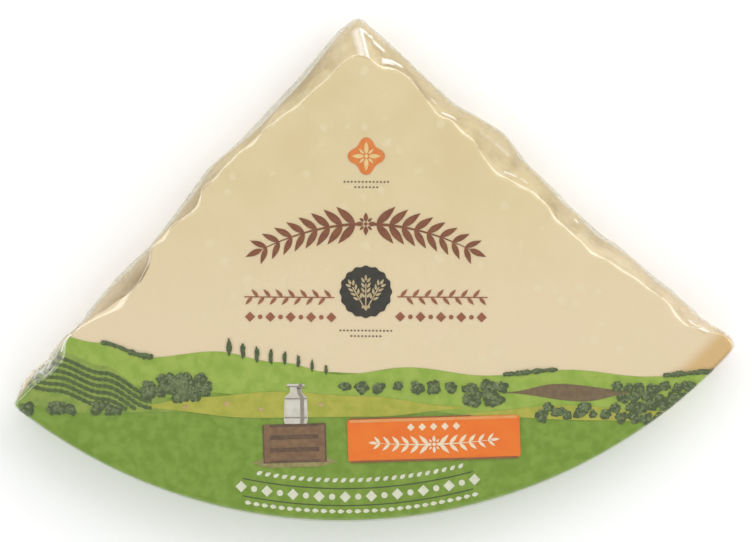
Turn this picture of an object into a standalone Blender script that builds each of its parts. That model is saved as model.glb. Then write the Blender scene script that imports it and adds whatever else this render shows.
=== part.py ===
"""A wedge of hard grating cheese, shrunk tight in its clear vacuum film.

The wedge is a slice from a quarter of a wheel: its front and back faces were sawn flat, its two
straight sides were broken open with a blade, and its curved side is the wheel's rind. It lies on its
back face with the front face up (+Z) and the tip towards +Y. The origin is at the bottom centre of
the pack's bounding box.

The solid is the outer surface of the film, which lies on the flat faces and the rind and bridges the
rough breaks. Three closed outlines carry it: the front edge, the widest line half way down, and the
back edge. They are read at the same stations round the core and joined by curved walls.
"""
import math

import bmesh
import bpy
import numpy as np

MM = 0.001

# The wheel and the slice
WHEEL_RADIUS = 220 * MM
THICKNESS = 30 * MM
LEFT_SPAN = math.radians(38.8)     # of the rind, each side of straight down from the wheel's centre
RIGHT_SPAN = math.radians(48.1)
TIP = np.array((6.2, -9.0)) * MM   # seen from the wheel's centre
CORE = np.array((12.6, -158.0)) * MM

# The broken sides, each along its chord from the tip (0) to the corner (1), in mm outwards
LEFT_WIDEST = ((0.00, 0.0), (0.04, 3.2), (0.16, 3.0), (0.32, 3.7), (0.39, 6.0), (0.46, 5.2),
               (0.60, 2.6), (0.70, 4.3), (0.80, 3.2), (0.86, 4.1), (0.91, 3.0), (0.95, 4.0), (1.00, 0.0))
LEFT_FRONT = ((0.067, -8.9), (0.12, -7.6), (0.18, -6.6), (0.25, -3.3), (0.32, -0.9), (0.45, 1.2),
              (0.486, -2.2), (0.54, 0.1), (0.60, 1.1), (0.63, -3.2), (0.68, -5.2), (0.74, -2.0),
              (0.80, 1.2), (0.845, 1.2), (0.88, -2.9), (0.913, -3.8), (0.935, -1.0), (0.98, 0.0))
RIGHT_WIDEST = ((0.00, 0.0), (0.05, 0.4), (0.25, -0.5), (0.30, 1.4), (0.37, 3.6), (0.42, 2.0),
                (0.47, 0.1), (0.60, -1.1), (0.76, -0.5), (0.90, 0.4), (0.96, 1.4), (1.00, 0.5))
RIGHT_FRONT = ((0.066, -10.3), (0.10, -10.0), (0.117, -6.6), (0.17, -5.3), (0.255, -9.2), (0.28, -6.8),
               (0.34, -7.3), (0.385, -10.9), (0.42, -11.0), (0.50, -6.7), (0.60, -9.5), (0.66, -9.7),
               (0.75, -6.0), (0.85, -5.0), (0.905, -7.0), (0.92, -3.9), (0.95, -4.6), (0.975, 0.0))
BACK_INSET = 4.5                   # mean step in from the widest line to the back edge
BACK_WAVES = ((2.0, 5, 0.6), (1.1, 11, 2.1), (0.6, 23, 4.0))    # mm, waves along a side, phase

# The rind side and the rims
RIND_CROWN = 1.2 * MM              # the rind bulges this far past the two rims
RIM = 1.6 * MM                     # rounding where a wall meets a flat face
CORNER_SOFTNESS = 2.0 * MM         # the film rounds every corner of an outline by about this much
WIDEST_HEIGHT = 0.46               # of the thickness

# Lumps that show through the film on the broken sides
LUMP = 0.6 * MM
LUMP_WAVES = ((19, 0.5, 0.4), (29, -1.0, 1.9), (43, 1.5, 5.2))  # waves round the pack, turns down a wall

# Fineness of the mesh
STATIONS = 180
WALL_STEPS = 5
RIM_STEPS = 2
FINE_POINTS = 1600

CHEESE_COLOUR = (0.72, 0.60, 0.37, 1.0)


def side_line(tip, corner, rows, outward):
    """One broken side: the chord's points at the given shares, moved outwards by the given offsets."""
    shares, offsets = np.array(rows).T
    chord = corner - tip
    along = chord / np.linalg.norm(chord)
    normal = np.array((along[1], -along[0])) * outward
    return tip + np.outer(shares, chord) + np.outer(offsets * MM, normal)


def back_rows(rows):
    """The back edge follows the widest line, a few millimetres in, with waves of its own."""
    shares = np.linspace(0.03, 0.98, 24)
    widest = np.interp(shares, *np.array(rows).T)
    inset = np.full_like(shares, BACK_INSET)
    for height, count, phase in BACK_WAVES:
        inset += height * np.sin(math.tau * count * shares + phase)
    return tuple(zip(shares, widest - inset))


def rind_arc(radius):
    """The wheel's rim from the right corner down and round to the left corner."""
    angles = np.linspace(RIGHT_SPAN, -LEFT_SPAN, 60)
    return radius * np.column_stack((np.sin(angles), -np.cos(angles)))


def closed_outline(left_rows, right_rows, rind_radius):
    """Left side up to the tip, right side down, rind back: evenly spaced, then softened all round."""
    rim = rind_arc(rind_radius)
    left = side_line(TIP, rim[-1], left_rows, +1)[::-1]
    right = side_line(TIP, rim[0], right_rows, -1)
    corners = np.vstack((left, right[:-1], rim, left[:1]))
    steps = np.linalg.norm(np.diff(corners, axis=0), axis=1)
    travelled = np.concatenate(((0.0,), np.cumsum(steps)))
    even = np.linspace(0.0, travelled[-1], FINE_POINTS, endpoint=False)
    line = np.column_stack([np.interp(even, travelled, corners[:, axis]) for axis in (0, 1)])
    reach = (np.arange(FINE_POINTS) + FINE_POINTS // 2) % FINE_POINTS - FINE_POINTS // 2
    spacing = travelled[-1] / FINE_POINTS
    window = np.exp(-0.5 * (reach * spacing / CORNER_SOFTNESS) ** 2)
    window /= window.sum()
    soft = np.fft.ifft(np.fft.fft(line, axis=0) * np.fft.fft(window)[:, None], axis=0)
    return soft.real


def polar(line):
    """Angle and distance of each point of an outline, seen from the core, in order of angle."""
    spokes = line - CORE
    angles = np.arctan2(spokes[:, 1], spokes[:, 0])
    order = np.argsort(angles)
    return angles[order], np.linalg.norm(spokes, axis=1)[order]


def read_at(angles, line):
    """Distance of an outline from the core at the given angles."""
    known_angles, known_distances = polar(line)
    return np.interp(angles, known_angles, known_distances, period=math.tau)


def station_angles(line):
    """Angles of the stations, which stand evenly along the widest line."""
    picks = np.arange(STATIONS) * FINE_POINTS // STATIONS
    spokes = line[picks] - CORE
    return np.arctan2(spokes[:, 1], spokes[:, 0])


def lumps(down):
    """Relief on the breaks at a share down the wall: crossing waves, none on the three outlines."""
    place = np.arange(STATIONS) / STATIONS
    relief = sum(np.sin(math.tau * (count * place + turns * down) + phase)
                 for count, turns, phase in LUMP_WAVES)
    return LUMP * relief * math.sin(math.tau * down) ** 2


def section_rings(front, widest, back, rough):
    """Distance and height of each ring, from the front face over the wall to the back face."""
    rings = []
    for step in range(RIM_STEPS):
        turn = 0.5 * math.pi * step / RIM_STEPS
        rings.append((front - RIM * (1 - math.sin(turn)), THICKNESS - RIM * (1 - math.cos(turn))))
    top, middle = THICKNESS - RIM, THICKNESS * WIDEST_HEIGHT
    for step in range(WALL_STEPS):
        share = step / WALL_STEPS
        swell = math.sin(0.5 * math.pi * share)
        bump = rough * lumps(0.5 * share)
        rings.append((front + (widest - front) * swell + bump, top + (middle - top) * share))
    for step in range(WALL_STEPS + 1):
        share = step / WALL_STEPS
        swell = math.cos(0.5 * math.pi * share)
        bump = rough * lumps(0.5 + 0.5 * share)
        rings.append((back + (widest - back) * swell + bump, middle + (RIM - middle) * share))
    for step in range(1, RIM_STEPS + 1):
        turn = 0.5 * math.pi * step / RIM_STEPS
        rings.append((back - RIM * (1 - math.cos(turn)), RIM * (1 - math.sin(turn))))
    return rings


def pack_rings():
    """All rings as points, centred on the bounding box of the whole pack."""
    rim_radius = WHEEL_RADIUS - RIND_CROWN
    front_line = closed_outline(LEFT_FRONT, RIGHT_FRONT, rim_radius)
    widest_line = closed_outline(LEFT_WIDEST, RIGHT_WIDEST, WHEEL_RADIUS)
    back_line = closed_outline(back_rows(LEFT_WIDEST), back_rows(RIGHT_WIDEST), rim_radius)
    angles = station_angles(widest_line)
    front, widest, back = (read_at(angles, line) for line in (front_line, widest_line, back_line))
    from_wheel = np.hypot(CORE[0] + widest * np.cos(angles), CORE[1] + widest * np.sin(angles))
    rough = np.clip((WHEEL_RADIUS - from_wheel) / (12 * MM), 0.0, 1.0)
    points = np.array([np.column_stack((CORE[0] + distance * np.cos(angles),
                                        CORE[1] + distance * np.sin(angles),
                                        np.full(STATIONS, height)))
                       for distance, height in section_rings(front, widest, back, rough)])
    flat = points[..., :2].reshape(-1, 2)
    points[..., :2] -= (flat.min(axis=0) + flat.max(axis=0)) / 2
    return points


def skinned(name, rings, material):
    """A closed solid: quads between neighbouring rings, and one flat face at each end."""
    shape = bmesh.new()
    loops = [[shape.verts.new(point) for point in ring] for ring in rings]
    for upper, lower in zip(loops, loops[1:]):
        for here in range(STATIONS):
            after = (here + 1) % STATIONS
            shape.faces.new((upper[here], upper[after], lower[after], lower[here]))
    shape.faces.new(loops[0])
    shape.faces.new(loops[-1])
    bmesh.ops.recalc_face_normals(shape, faces=shape.faces)
    mesh = bpy.data.meshes.new(name)
    shape.to_mesh(mesh)
    shape.free()
    mesh.materials.append(material)
    mesh.shade_smooth()
    mesh.set_sharp_from_angle(angle=math.radians(35))
    piece = bpy.data.objects.new(name, mesh)
    bpy.context.scene.collection.objects.link(piece)
    return piece


def cheese_in_film():
    """Pale straw paste under glossy clear film."""
    material = bpy.data.materials.new("cheese_in_film")
    material.use_nodes = True
    shader = material.node_tree.nodes["Principled BSDF"]
    shader.inputs["Base Color"].default_value = CHEESE_COLOUR
    shader.inputs["Roughness"].default_value = 0.3
    shader.inputs["Metallic"].default_value = 0.0
    shader.inputs["Coat Weight"].default_value = 0.6
    return material


for old in list(bpy.data.objects):
    bpy.data.objects.remove(old, do_unlink=True)

wedge = skinned("vacuum_packed_wedge", pack_rings(), cheese_in_film())
print(f"pack measures {wedge.dimensions.x:.4f} x {wedge.dimensions.y:.4f} x {wedge.dimensions.z:.4f} m")
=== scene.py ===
# %% [markdown]
# # A wedge of hard cheese in its vacuum pack
#
# The real object is a slice from a quarter of a cheese wheel. Its two straight sides were broken open
# with a blade, so they are rough like stone; its flat faces were sawn; its curved side is the rind.
# A clear film printed with a country scene is shrunk round it. This lesson makes the cheese, the ink
# and the film as three thin shells, one inside the other, all worked out from the same three outlines.

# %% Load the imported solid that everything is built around
import math

import bpy
import numpy as np
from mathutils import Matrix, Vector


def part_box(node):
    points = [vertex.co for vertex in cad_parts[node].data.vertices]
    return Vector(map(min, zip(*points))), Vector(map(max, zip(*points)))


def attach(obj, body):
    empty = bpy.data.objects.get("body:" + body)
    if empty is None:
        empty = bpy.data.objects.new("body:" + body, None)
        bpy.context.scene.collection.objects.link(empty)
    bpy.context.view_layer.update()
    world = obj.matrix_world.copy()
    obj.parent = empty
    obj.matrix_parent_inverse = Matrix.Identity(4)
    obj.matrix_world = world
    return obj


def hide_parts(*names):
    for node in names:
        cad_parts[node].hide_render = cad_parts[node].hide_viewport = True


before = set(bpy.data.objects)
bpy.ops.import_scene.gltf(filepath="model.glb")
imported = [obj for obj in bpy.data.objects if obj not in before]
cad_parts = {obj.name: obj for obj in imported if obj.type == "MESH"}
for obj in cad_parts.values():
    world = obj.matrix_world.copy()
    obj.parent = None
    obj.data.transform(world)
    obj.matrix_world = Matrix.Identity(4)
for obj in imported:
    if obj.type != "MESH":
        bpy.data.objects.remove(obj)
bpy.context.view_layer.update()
MM = 0.001
LOW, HIGH = (np.array(corner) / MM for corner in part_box("vacuum_packed_wedge"))
THICKNESS = HIGH[2] - LOW[2]
print("pack, mm:", np.round(HIGH - LOW, 1))

# %% [markdown]
# ## Three outlines
#
# Everything is worked out in millimetres and turned to metres at the very end. A closed outline runs
# up the left broken side to the tip, down the right broken side and back along the rind. There are
# three: the front edge, the widest line half way down the wall, and the back edge. Each broken side is
# a chord with offsets at a few shares of its length, so that moving one flake moves one number. The
# film rounds every corner, which a moving average along the outline does in one step.

# %% Outlines of the pack, seen from the wheel's centre, in millimetres
WHEEL_RADIUS = 220.0
LEFT_SPAN = math.radians(38.8)
RIGHT_SPAN = math.radians(48.1)
TIP = np.array((6.2, -9.0))
CORE = np.array((12.6, -158.0))
LEFT_WIDEST = ((0.00, 0.0), (0.04, 2.0), (0.11, 1.9), (0.17, 1.5), (0.32, 2.5), (0.36, 3.2), (0.41, 5.0),
               (0.47, 3.8), (0.51, 2.9), (0.59, 1.4), (0.68, 3.2), (0.76, 2.7), (0.80, 1.5), (0.85, 3.3),
               (0.89, 1.5), (0.92, 3.3), (0.955, 3.0), (1.00, 0.0))
LEFT_FRONT = ((0.067, -8.9), (0.12, -7.6), (0.18, -6.6), (0.25, -3.3), (0.32, -0.9), (0.45, 1.2),
              (0.486, -2.2), (0.54, 0.1), (0.60, 1.1), (0.63, -3.2), (0.68, -5.2), (0.74, -2.0),
              (0.80, 1.2), (0.845, 1.2), (0.88, -2.9), (0.913, -3.8), (0.935, -1.0), (0.98, 0.0))
RIGHT_WIDEST = ((0.00, 0.0), (0.05, 0.1), (0.12, -0.1), (0.20, -0.8), (0.26, -1.1), (0.30, 0.9),
                (0.37, 3.5), (0.41, 2.0), (0.45, 0.0), (0.53, -0.2), (0.56, -1.5), (0.65, -1.6),
                (0.69, -0.5), (0.80, -0.4), (0.83, 0.3), (0.92, -0.6), (0.96, 1.3), (0.98, 1.9), (1.00, 0.2))
RIGHT_FRONT = ((0.066, -10.3), (0.10, -10.0), (0.117, -6.6), (0.17, -5.3), (0.255, -9.2), (0.28, -6.8),
               (0.34, -7.3), (0.385, -10.9), (0.42, -11.0), (0.50, -6.7), (0.60, -9.5), (0.66, -9.7),
               (0.75, -6.0), (0.85, -5.0), (0.905, -7.0), (0.92, -3.9), (0.94, -3.9), (0.955, -0.8),
               (0.975, 0.9), (0.99, 0.6))
BACK_INSET = 4.5
BACK_WAVES = ((2.0, 5, 0.6), (1.1, 11, 2.1), (0.6, 23, 4.0))
RIND_CROWN = 1.2
CORNER_SOFTNESS = 2.0
FINE_POINTS = 3000


def side_line(corner, rows, outward):
    """One broken side: points at shares of the chord from tip to corner, moved outwards by offsets."""
    shares, offsets = np.array(rows).T
    chord = corner - TIP
    normal = np.array((chord[1], -chord[0])) * outward / np.linalg.norm(chord)
    return TIP + np.outer(shares, chord) + np.outer(offsets, normal)


def back_rows(rows):
    """The back edge: the widest line's offsets, less an inset that waves along the side."""
    shares = np.linspace(0.03, 0.98, 24)
    inset = BACK_INSET + sum(size * np.sin(math.tau * count * shares + phase)
                             for size, count, phase in BACK_WAVES)
    return tuple(zip(shares, np.interp(shares, *np.array(rows).T) - inset))


def closed_outline(left_rows, right_rows, rind_radius):
    """Two broken sides and an arc, re-spaced evenly, then averaged under a bell curve along the line."""
    turn = np.linspace(RIGHT_SPAN, -LEFT_SPAN, 60)
    rim = rind_radius * np.column_stack((np.sin(turn), -np.cos(turn)))
    left = side_line(rim[-1], left_rows, +1)[::-1]
    right = side_line(rim[0], right_rows, -1)
    corners = np.vstack((left, right[:-1], rim, left[:1]))
    travelled = np.append(0.0, np.cumsum(np.linalg.norm(np.diff(corners, axis=0), axis=1)))
    even = np.linspace(0.0, travelled[-1], FINE_POINTS, endpoint=False)
    line = np.column_stack([np.interp(even, travelled, corners[:, axis]) for axis in (0, 1)])
    reach = (np.arange(FINE_POINTS) + FINE_POINTS // 2) % FINE_POINTS - FINE_POINTS // 2
    window = np.exp(-0.5 * (reach * travelled[-1] / FINE_POINTS / CORNER_SOFTNESS) ** 2)
    spectrum = np.fft.fft(line, axis=0) * np.fft.fft(window / window.sum())[:, None]
    return np.fft.ifft(spectrum, axis=0).real


front_line = closed_outline(LEFT_FRONT, RIGHT_FRONT, WHEEL_RADIUS - RIND_CROWN)
widest_line = closed_outline(LEFT_WIDEST, RIGHT_WIDEST, WHEEL_RADIUS)
back_line = closed_outline(back_rows(LEFT_WIDEST), back_rows(RIGHT_WIDEST), WHEEL_RADIUS - RIND_CROWN)
SHIFT = (LOW[:2] + HIGH[:2]) / 2 - (widest_line.min(axis=0) + widest_line.max(axis=0)) / 2
core = CORE + SHIFT
wheel_centre = SHIFT
print("wheel's centre in the pack's frame, mm:", np.round(wheel_centre, 1))

# %% [markdown]
# ## The wall as one function
#
# Seen from a point in the middle of the wedge, each outline is a distance for every angle. Between
# them the film's section is one formula of a share from 0 (front face) to 1 (back face): it turns out
# of the front face on a small arc, swells along a quarter sine wave to the widest line, draws in along
# another, and turns into the back face. Every shell of the pack is this surface moved a little inwards.

# %% The smooth wall at any angle round the core and any share of the way down
RIM_SHARE, MIDDLE_SHARE = 0.045, 0.53
MIDDLE = 0.46 * THICKNESS
RIM = 2.0
RIM_WAVES = ((0.26, 37, 1.0), (0.22, 61, 2.2), (0.16, 23, 4.1))      # share of the radius, waves, phase
BROAD_RIM = (165.0, 2.8, 1.9)           # direction, half width in degrees, share added


def polar(line):
    """Angles and distances of an outline from the core, in order of angle."""
    spokes = line - CORE
    angles = np.arctan2(spokes[:, 1], spokes[:, 0])
    order = np.argsort(angles)
    return angles[order], np.linalg.norm(spokes, axis=1)[order]


OUTLINES = [polar(line) for line in (front_line, widest_line, back_line)]


def edges(angle):
    """Distance of the front edge, the widest line and the back edge at each angle."""
    return [np.interp(angle, known, distance, period=math.tau) for known, distance in OUTLINES]


def away_from(angle, direction):
    """Degrees from a direction, from -180 to 180."""
    return (np.degrees(angle) - direction + 180) % 360 - 180


def brokenness(angle):
    """1 on the two broken sides and 0 on the rind, by distance from the wheel's rim."""
    widest = edges(angle)[1]
    across = np.hypot(CORE[0] + widest * np.cos(angle), CORE[1] + widest * np.sin(angle))
    return np.clip((WHEEL_RADIUS - 0.6 - across) / 5.0, 0, 1)


def rim_radius(angle):
    """Radius of the rim arc: steady on the rind, wandering on the breaks, broad at one place."""
    wander = sum(size * np.sin(count * angle + phase) for size, count, phase in RIM_WAVES)
    direction, half_width, more = BROAD_RIM
    broad = more * np.exp(-0.5 * (away_from(angle, direction) / half_width) ** 2)
    return RIM * (1 + brokenness(angle) * wander + broad)


def smooth_wall(angle, share):
    """Distance from the core and height: rim arc, sine to the widest line, sine back in, rim arc."""
    front, widest, back = edges(angle)
    rim = rim_radius(angle)
    lean_front = np.arctan2(THICKNESS - MIDDLE, 0.5 * math.pi * np.maximum(widest - front, 0.5))
    lean_back = np.arctan2(MIDDLE, 0.5 * math.pi * np.maximum(widest - back, 0.5))
    rim_in = lean_front * np.clip(share / RIM_SHARE, 0, 1)
    rim_out = lean_back * np.clip((1 - share) / RIM_SHARE, 0, 1)
    upper = np.clip((share - RIM_SHARE) / (MIDDLE_SHARE - RIM_SHARE), 0, 1)
    lower = np.clip((share - MIDDLE_SHARE) / (1 - RIM_SHARE - MIDDLE_SHARE), 0, 1)
    top = THICKNESS - rim * (1 - np.cos(lean_front))
    bottom = rim * (1 - np.cos(lean_back))
    distance = (front - rim * (np.sin(lean_front) - np.sin(rim_in))
                + (widest - front) * np.sin(0.5 * math.pi * upper)
                - (widest - back) * (1 - np.cos(0.5 * math.pi * lower))
                - rim * (np.sin(lean_back) - np.sin(rim_out)))
    height = (THICKNESS - rim * (1 - np.cos(rim_in)) - (top - MIDDLE) * upper
              - (MIDDLE - bottom) * lower - bottom + rim * (1 - np.cos(rim_out)))
    return distance, height


def wall_length(angle):
    """Length of the section from face to face: two rim arcs and two slightly bowed slopes."""
    front, widest, back = edges(angle)
    return RIM * 1.6 + 1.04 * (np.hypot(widest - front, THICKNESS - MIDDLE) + np.hypot(widest - back, MIDDLE))


def to_points(angle, distance, height):
    """Points in the pack's frame, in millimetres, from angle and distance round the core and height."""
    return np.stack(np.broadcast_arrays(core[0] + distance * np.cos(angle),
                                        core[1] + distance * np.sin(angle), height), axis=-1)


def evenly_round(count):
    """Angles of stations that stand evenly along the widest line."""
    spokes = widest_line[np.arange(count) * FINE_POINTS // count] - CORE
    return np.arctan2(spokes[:, 1], spokes[:, 0])


# %% [markdown]
# ## Noise for broken cheese
#
# A blade forced into a wheel splits it along its grain, and the break is a heap of small conchoidal
# chips. Two noises on whole arrays make it: a smooth one for hollows, and one of jittered cells, each
# with its own height and tilt, for chips with edges between them.

# %% Repeatable noise on whole arrays of points
def hashed(cells, seed):
    """A number from 0 to 1 for each whole-number cell: its indices are multiplied, mixed and folded."""
    mixed = np.zeros(cells.shape[:-1], dtype=np.int64)
    for axis, prime in enumerate((73856093, 19349663, 83492791)):
        mixed ^= cells[..., axis].astype(np.int64) * prime
    mixed = (mixed + seed * 2654435761) & 0xFFFFFFFF
    mixed = ((mixed ^ (mixed >> 13)) * 1274126177) & 0xFFFFFFFF
    return (mixed ^ (mixed >> 16)) / 2 ** 32


def value_noise(points, size, seed):
    """Random heights at the corners of cubes of one size, blended smoothly between the corners."""
    places = points / size
    base = np.floor(places)
    share = places - base
    share = share * share * (3 - 2 * share)
    total = 0.0
    for corner in np.ndindex(2, 2, 2):
        weight = np.prod(np.where(corner, share, 1 - share), axis=-1)
        total = total + weight * hashed(base + corner, seed)
    return total


def layered_noise(points, size, seed, layers=3):
    """Smooth noise with finer and fainter copies of itself added."""
    strengths = 0.5 ** np.arange(layers)
    total = sum(strength * value_noise(points, size * strength, seed + layer)
                for layer, strength in enumerate(strengths))
    return total / strengths.sum()


def chips(points, size, seed):
    """Cells round jittered centres: each point takes its nearest cell's height and tilt, from 0 to 1."""
    places = points / size
    base = np.floor(places)
    nearest = np.full(points.shape[:-1], np.inf)
    height = np.zeros_like(nearest)
    for step in np.ndindex(3, 3, 3):
        cell = base + np.array(step) - 1
        jitter = np.stack([hashed(cell, seed + axis) for axis in (1, 2, 3)], axis=-1)
        away = places - cell - jitter
        gap = np.linalg.norm(away, axis=-1)
        lean = np.stack([hashed(cell, seed + axis) - 0.5 for axis in (4, 5, 6)], axis=-1)
        level = hashed(cell, seed) + 1.4 * (away * lean).sum(axis=-1)
        height = np.where(gap < nearest, level, height)
        nearest = np.minimum(gap, nearest)
    return height


# %% [markdown]
# ## Where flakes broke away
#
# The largest hollows are listed, each with a direction from the core, a share of the way down
# the wall, a half width in degrees, a half height as a share, and a depth. The film sinks a part of the
# way into every hollow, and the cheese lies the rest of the way down.

# %% Hollows of the broken sides
FLAKES = ((157.5, 0.26, 4.2, 0.20, 4.6), (150.5, 0.30, 1.2, 0.16, 2.2), (168.0, 0.40, 2.6, 0.18, 1.6),
          (142.0, 0.34, 3.0, 0.16, 1.7), (134.5, 0.33, 4.2, 0.18, 4.2), (116.0, 0.24, 3.0, 0.14, 1.4),
          (101.0, 0.26, 4.8, 0.18, 1.5), (87.5, 0.30, 1.6, 0.14, 1.6), (80.5, 0.26, 2.4, 0.16, 1.6),
          (73.0, 0.40, 2.2, 0.16, 1.3), (65.6, 0.16, 1.5, 0.09, 2.2), (56.0, 0.42, 1.0, 0.16, 2.0),
          (45.0, 0.44, 3.4, 0.16, 2.0), (31.5, 0.46, 3.6, 0.15, 2.4), (18.0, 0.46, 2.8, 0.15, 1.8),
          (11.0, 0.30, 1.4, 0.14, 1.2))
FILM_FOLLOWS = 0.42
DENT = 1.3


def flaked(angle, share):
    """Depth of the listed hollows: each is a bell in the direction and in the share."""
    depth = 0.0
    for direction, middle, half_width, half_height, deep in FLAKES:
        turn = away_from(angle, direction)
        away = (turn / half_width) ** 2 + ((share - middle) / half_height) ** 2
        depth = depth + deep * np.exp(-0.5 * away)
    return depth


def section(angle, share):
    """The film's surface: the smooth wall, dented where flakes are missing but not at the widest line."""
    distance, height = smooth_wall(angle, share)
    points = to_points(angle, distance, height)
    rise = np.clip(share / 0.14, 0, 1) * np.clip((1 - share) / 0.10, 0, 1)
    kept = 1 - 0.85 * np.exp(-0.5 * ((share - MIDDLE_SHARE) / 0.07) ** 2)
    dent = DENT * layered_noise(points, 8.0, 91, 2) + FILM_FOLLOWS * flaked(angle, share)
    return distance - brokenness(angle) * rise ** 2 * (3 - 2 * rise) * kept * dent, height


# %% [markdown]
# ## Small helpers
#
# A mesh is made from arrays: points, and quads or triangles that number them. A colour is written as
# the sRGB hex value that the eye sees and turned to linear light once. One function adds any node:
# its settings are properties, and its inputs are values or other nodes' sockets.

# %% Meshes
def grid_quads(rows, columns, closed=False):
    """Corner numbers of the quads between neighbouring rows and columns of a grid of points."""
    row = np.arange(rows - 1)[:, None]
    column = np.arange(columns if closed else columns - 1)[None, :]
    after = (column + 1) % columns
    corners = (row * columns + column, row * columns + after,
               (row + 1) * columns + after, (row + 1) * columns + column)
    return np.stack(np.broadcast_arrays(*corners), axis=-1).reshape(-1, 4)


def make_piece(name, points, faces, material, slot, attributes=()):
    """A smooth mesh from points in millimetres, riding on the pack, with any values on its points."""
    mesh = bpy.data.meshes.new(name)
    mesh.from_pydata(points.reshape(-1, 3) * MM, [], faces)
    for label, values in attributes:
        mesh.attributes.new(label, "FLOAT", "POINT").data.foreach_set("value", values.ravel())
    mesh.materials.append(material)
    mesh.shade_smooth()
    mesh.update()
    piece = bpy.data.objects.new(name, mesh)
    bpy.context.scene.collection.objects.link(piece)
    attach(piece, "root")
    print(f"{name}: {len(mesh.vertices)} points, {len(mesh.polygons)} faces")
    return piece


# %% Colours and nodes
def linear(hex_colour):
    """sRGB hex to linear light: each channel to the power 2.4 after an offset, straight near black."""
    channels = np.array([int(hex_colour[i:i + 2], 16) for i in (1, 3, 5)]) / 255
    bent = np.where(channels > 0.04045, ((channels + 0.055) / 1.055) ** 2.4, channels / 12.92)
    return (*bent, 1.0)


def add(tree, kind, settings=None, inputs=None):
    """Adds a node, sets its properties, and fills or links its inputs, given by name or number."""
    node = tree.nodes.new(kind)
    for label, value in (settings or {}).items():
        setattr(node, label, value)
    for label, value in (inputs or {}).items():
        if isinstance(value, bpy.types.NodeSocket):
            tree.links.new(value, node.inputs[label])
        else:
            node.inputs[label].default_value = value
    return node


def new_material(name):
    """An empty material and its node tree, with an output node that waits for a shader."""
    material = bpy.data.materials.new(name)
    material.use_nodes = True
    tree = material.node_tree
    tree.nodes.clear()
    return material, tree, add(tree, "ShaderNodeOutputMaterial")


def blend_colours(tree, factor, low, high):
    """A colour between two others, each a hex value or a socket."""
    low, high = (linear(side) if isinstance(side, str) else side for side in (low, high))
    mix = add(tree, "ShaderNodeMix", {"data_type": "RGBA"}, {0: factor, 6: low, 7: high})
    return mix.outputs[2]


def ramp(tree, value, start, stop, low=0.0, high=1.0):
    """A value moved from one range to another along a soft S, held at the ends."""
    return add(tree, "ShaderNodeMapRange", {"interpolation_type": "SMOOTHSTEP"},
               {0: value, 1: start, 2: stop, 3: low, 4: high}).outputs[0]


def maths(tree, operation, first, second):
    """One step of arithmetic on two values."""
    return add(tree, "ShaderNodeMath", {"operation": operation}, {0: first, 1: second}).outputs[0]


# %% [markdown]
# ## The cheese
#
# The body is the film's surface moved in by a millimetre, and on the broken sides moved in further
# where flakes came away, so that the film stands off the hollows as it does on the real pack. The depth
# of each hollow is stored on the points, and the paste is painted darker and browner there as shade,
# where light has to find its way in under the film. Rings of points stand close together beside each
# rim, so that the smooth shading of the rim stops at once on the sawn face.

# %% Closed shells from rings
FACE_STEPS = ((1.0, 0.3), (1.0, 1.2), (0.85, 0.0), (0.45, 0.0))     # share of the edge, less millimetres


def section_shares(wall_rows, rim_rows):
    """Shares down the wall: close steps round both rims, even ones between them."""
    rim = np.linspace(0, RIM_SHARE, rim_rows, endpoint=False)
    wall = np.linspace(RIM_SHARE, 1 - RIM_SHARE, wall_rows, endpoint=False)
    return np.concatenate((rim, wall, np.linspace(1 - RIM_SHARE, 1, rim_rows + 1)))[:, None]


def closed_body(angle, distance, height):
    """Rings of the wall, with flat rings across both faces and a pole in the middle of each."""
    front = np.vstack([share * distance[:1] - less for share, less in FACE_STEPS[::-1]])
    back = np.vstack([share * distance[-1:] - less for share, less in FACE_STEPS])
    steps = len(FACE_STEPS)
    distance = np.vstack((front, distance, back))
    height = np.vstack((np.repeat(height[:1], steps, axis=0), height, np.repeat(height[-1:], steps, axis=0)))
    rings = to_points(angle, distance, height)
    rows, columns = distance.shape
    poles = np.array([(core[0], core[1], level) for level in (height[0, 0], height[-1, 0])])
    around = np.arange(columns)
    after = (around + 1) % columns
    last = (rows - 1) * columns
    fans = np.vstack((np.column_stack((np.full(columns, rows * columns), after, around)),
                      np.column_stack((np.full(columns, rows * columns + 1), last + around, last + after))))
    faces = [*grid_quads(rows, columns, closed=True).tolist(), *fans.tolist()]
    return np.vstack((rings.reshape(-1, 3), poles)), faces


def on_all_points(values):
    """Wall values carried over the face rings and the two poles, which have none of their own."""
    blank = np.zeros((len(FACE_STEPS), values.shape[1]))
    return np.append(np.vstack((blank, values, blank)), (0.0, 0.0))


# %% Cheese body
PRINT_GAP = 0.9             # room between film and cheese for the layers of ink, in millimetres
BARE_GAP = 0.3              # the same where nothing is printed
STANDOFF = 1.9              # film clear of the cheese along the upper left side
CHEESE_STATIONS = 1040


def hollow_depth(angle, share, points):
    """Millimetres between film and cheese: the rest of each flake, chips, grain, and the stand-off."""
    fade = np.clip(share / 0.15, 0, 1) * np.clip((1 - share) / 0.10, 0, 1)
    wide = np.clip((layered_noise(points, 13.0, 11) - 0.46) / 0.3, 0, 1)
    flakes = np.clip(chips(points, 5.5, 23), 0, 1) + 0.5 * np.clip(chips(points, 2.4, 37), 0, 1)
    grain = layered_noise(points, 1.3, 51, 2)
    rest = (1 - FILM_FOLLOWS) * flaked(angle, share)
    upper_left = np.exp(-0.5 * ((np.degrees(angle) - 108) / 10) ** 4)
    at_widest = np.exp(-0.5 * ((share - MIDDLE_SHARE) / 0.14) ** 2)
    rough = (1.5 * wide + 0.75 * flakes + 0.5 * grain) * (1 - 0.9 * at_widest)
    return brokenness(angle) * fade * (rough + rest + STANDOFF * upper_left * at_widest)


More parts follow.
